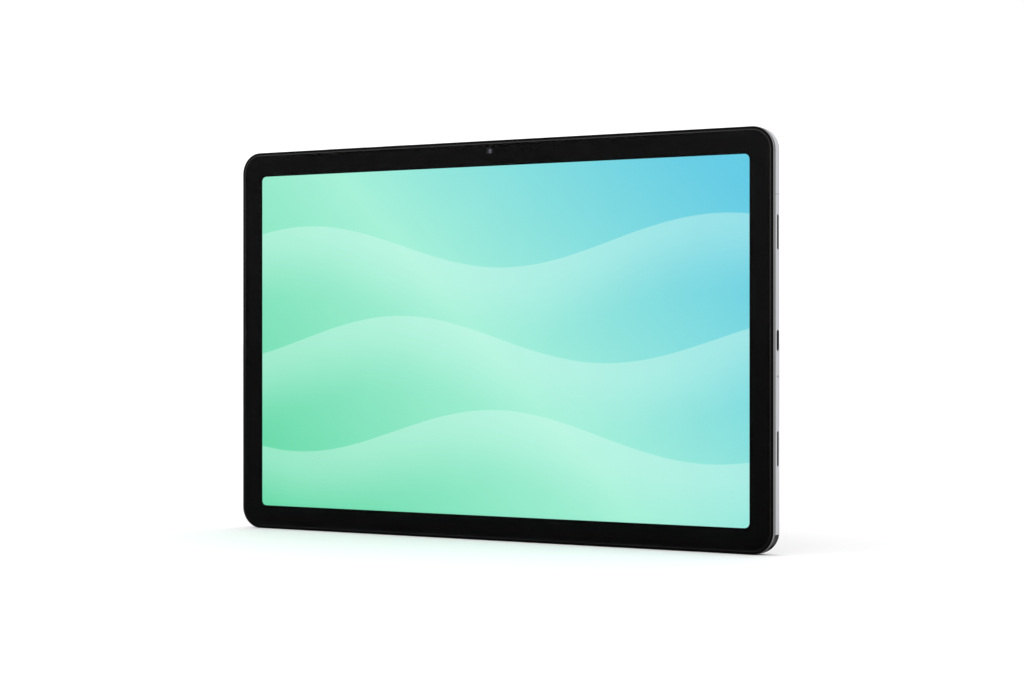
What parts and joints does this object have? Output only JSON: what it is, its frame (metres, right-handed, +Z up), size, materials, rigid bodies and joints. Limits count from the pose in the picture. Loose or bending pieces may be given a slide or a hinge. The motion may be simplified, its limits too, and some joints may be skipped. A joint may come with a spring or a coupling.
{
  "type": "tablet computer",
  "caption": "Slim tablet computer with a bordered glass front, metal rear housing, edge keys, speakers, card tray, USB-C socket and diagonal headphone socket.",
  "frame": {"origin": "middle of the lower long edge, half way between the front glass and the rear face", "axes": "+X to the right along the long edge as the user sees the screen, +Y from the front glass to the rear face, +Z up the short edge"},
  "size_m": [0.257, 0.0078, 0.1691],
  "materials": {
    "screen_glass": "gloss, with a rounded edge",
    "black_print": "opaque black print",
    "clear_film": "clear",
    "display": null,
    "white_sheet": "matte",
    "flex_circuit": "satin polyimide",
    "steel_sheet": "pressed sheet",
    "circuit_board": "satin solder mask",
    "black_foam": "matte foam",
    "grey_frame": "satin grey",
    "chassis_metal": "matte",
    "silver_metal": "fine blasted, anodised silver",
    "grey_seam": "satin",
    "black_plastic": "fine moulded texture",
    "contact_metal": "plated",
    "socket_steel": "drawn",
    "speaker_cone": "matte",
    "dark_mesh": "fine woven mesh",
    "silver_key": "fine blasted, anodised silver",
    "tray_metal": "fine blasted, anodised silver",
    "screw_steel": "zinc plated",
    "chip_plastic": "satin",
    "battery_pouch": "laminated foil",
    "cable_jacket": "satin",
    "graphite": "satin",
    "camera_ring": "turned and polished",
    "camera_glass": "dark gloss",
    "lens_black": "coated",
    "camera_trim": "satin",
    "lens_glass": "coated lens"
  },
  "bodies": {
    "tablet": {"antenna_cable": "cable_jacket", "antenna_cover": "silver_metal", "antenna_seam": "grey_seam", "antennas": "black_plastic", "backlight_tray": "steel_sheet", "battery_board": "circuit_board", "battery_cell_left": "battery_pouch", "battery_cell_right": "battery_pouch", "battery_tape": "white_sheet", "board_chips": "chip_plastic", "board_link_flex": "flex_circuit", "board_screws": "screw_steel", "card_socket": "steel_sheet", "cover_glass": "screen_glass", "display_flex": "flex_circuit", "display_foam": "black_foam", "front_camera": "camera_trim", "front_camera_lens": "lens_glass", "front_frame": "grey_frame", "glass_tape": "black_foam", "graphite_sheet": "graphite", "headphone_jack": "black_plastic", "ink_border": "black_print", "jack_cap": "black_plastic", "jack_contacts": "contact_metal", "key_bracket": "steel_sheet", "key_flex": "flex_circuit", "key_switches": "contact_metal", "lcd_panel": "display", "led_strip": "flex_circuit", "light_guide": "clear_film", "main_board": "circuit_board", "microphones": "contact_metal", "mid_plate": "chassis_metal", "optical_adhesive": "clear_film", "optical_films": "clear_film", "processor_shield": "steel_sheet", "radio_shield": "steel_sheet", "rear_camera_glass": "camera_glass", "rear_camera_housing": "black_plastic", "rear_camera_ring": "camera_ring", "rear_cover": "silver_metal", "reflector_sheet": "white_sheet", "speaker_drivers": "speaker_cone", "speaker_left_lower": "black_plastic", "speaker_left_upper": "black_plastic", "speaker_meshes": "dark_mesh", "speaker_right_lower": "black_plastic", "speaker_right_upper": "black_plastic", "sub_board": "circuit_board", "timing_board": "circuit_board", "usb_shell": "socket_steel", "usb_tongue": "black_plastic"},
    "volume_key": {"volume_key": "silver_key"},
    "power_key": {"power_key": "silver_key"},
    "card_tray": {"card_tray": "tray_metal", "memory_card": "black_plastic"},
    "eject_rod": {"eject_rod": "steel_sheet"},
    "eject_lever": {"eject_lever": "steel_sheet"},
    "camera_lens": {"rear_camera_lens": "lens_black"}
  },
  "joints": [
    {"name": "volume_rock", "type": "hinge", "parent": "tablet", "child": "volume_key", "pos_m": [-0.07495, 0.001, 0.1664], "axis": [0, 1, 0], "range_deg": [-1.5, 1.5], "stiffness_Nm_per_rad": 0.5},
    {"name": "power_press", "type": "slide", "parent": "tablet", "child": "power_key", "axis": [0, 0, -1], "range_m": [0, 0.0003], "stiffness_N_per_m": 4000},
    {"name": "tray_slide", "type": "slide", "parent": "tablet", "child": "card_tray", "axis": [0, 0, 1], "range_m": [0, 0.024]},
    {"name": "eject_push", "type": "slide", "parent": "tablet", "child": "eject_rod", "axis": [0, 0, -1], "range_m": [0, 0.0012]},
    {"name": "lever_rock", "type": "hinge", "parent": "tablet", "child": "eject_lever", "pos_m": [0.062, 0.001, 0.142], "axis": [0, 1, 0], "range_deg": [0, 9.55]},
    {"name": "focus_slide", "type": "slide", "parent": "tablet", "child": "camera_lens", "axis": [0, 1, 0], "range_m": [0, 0.0003], "stiffness_N_per_m": 60}
  ]
}
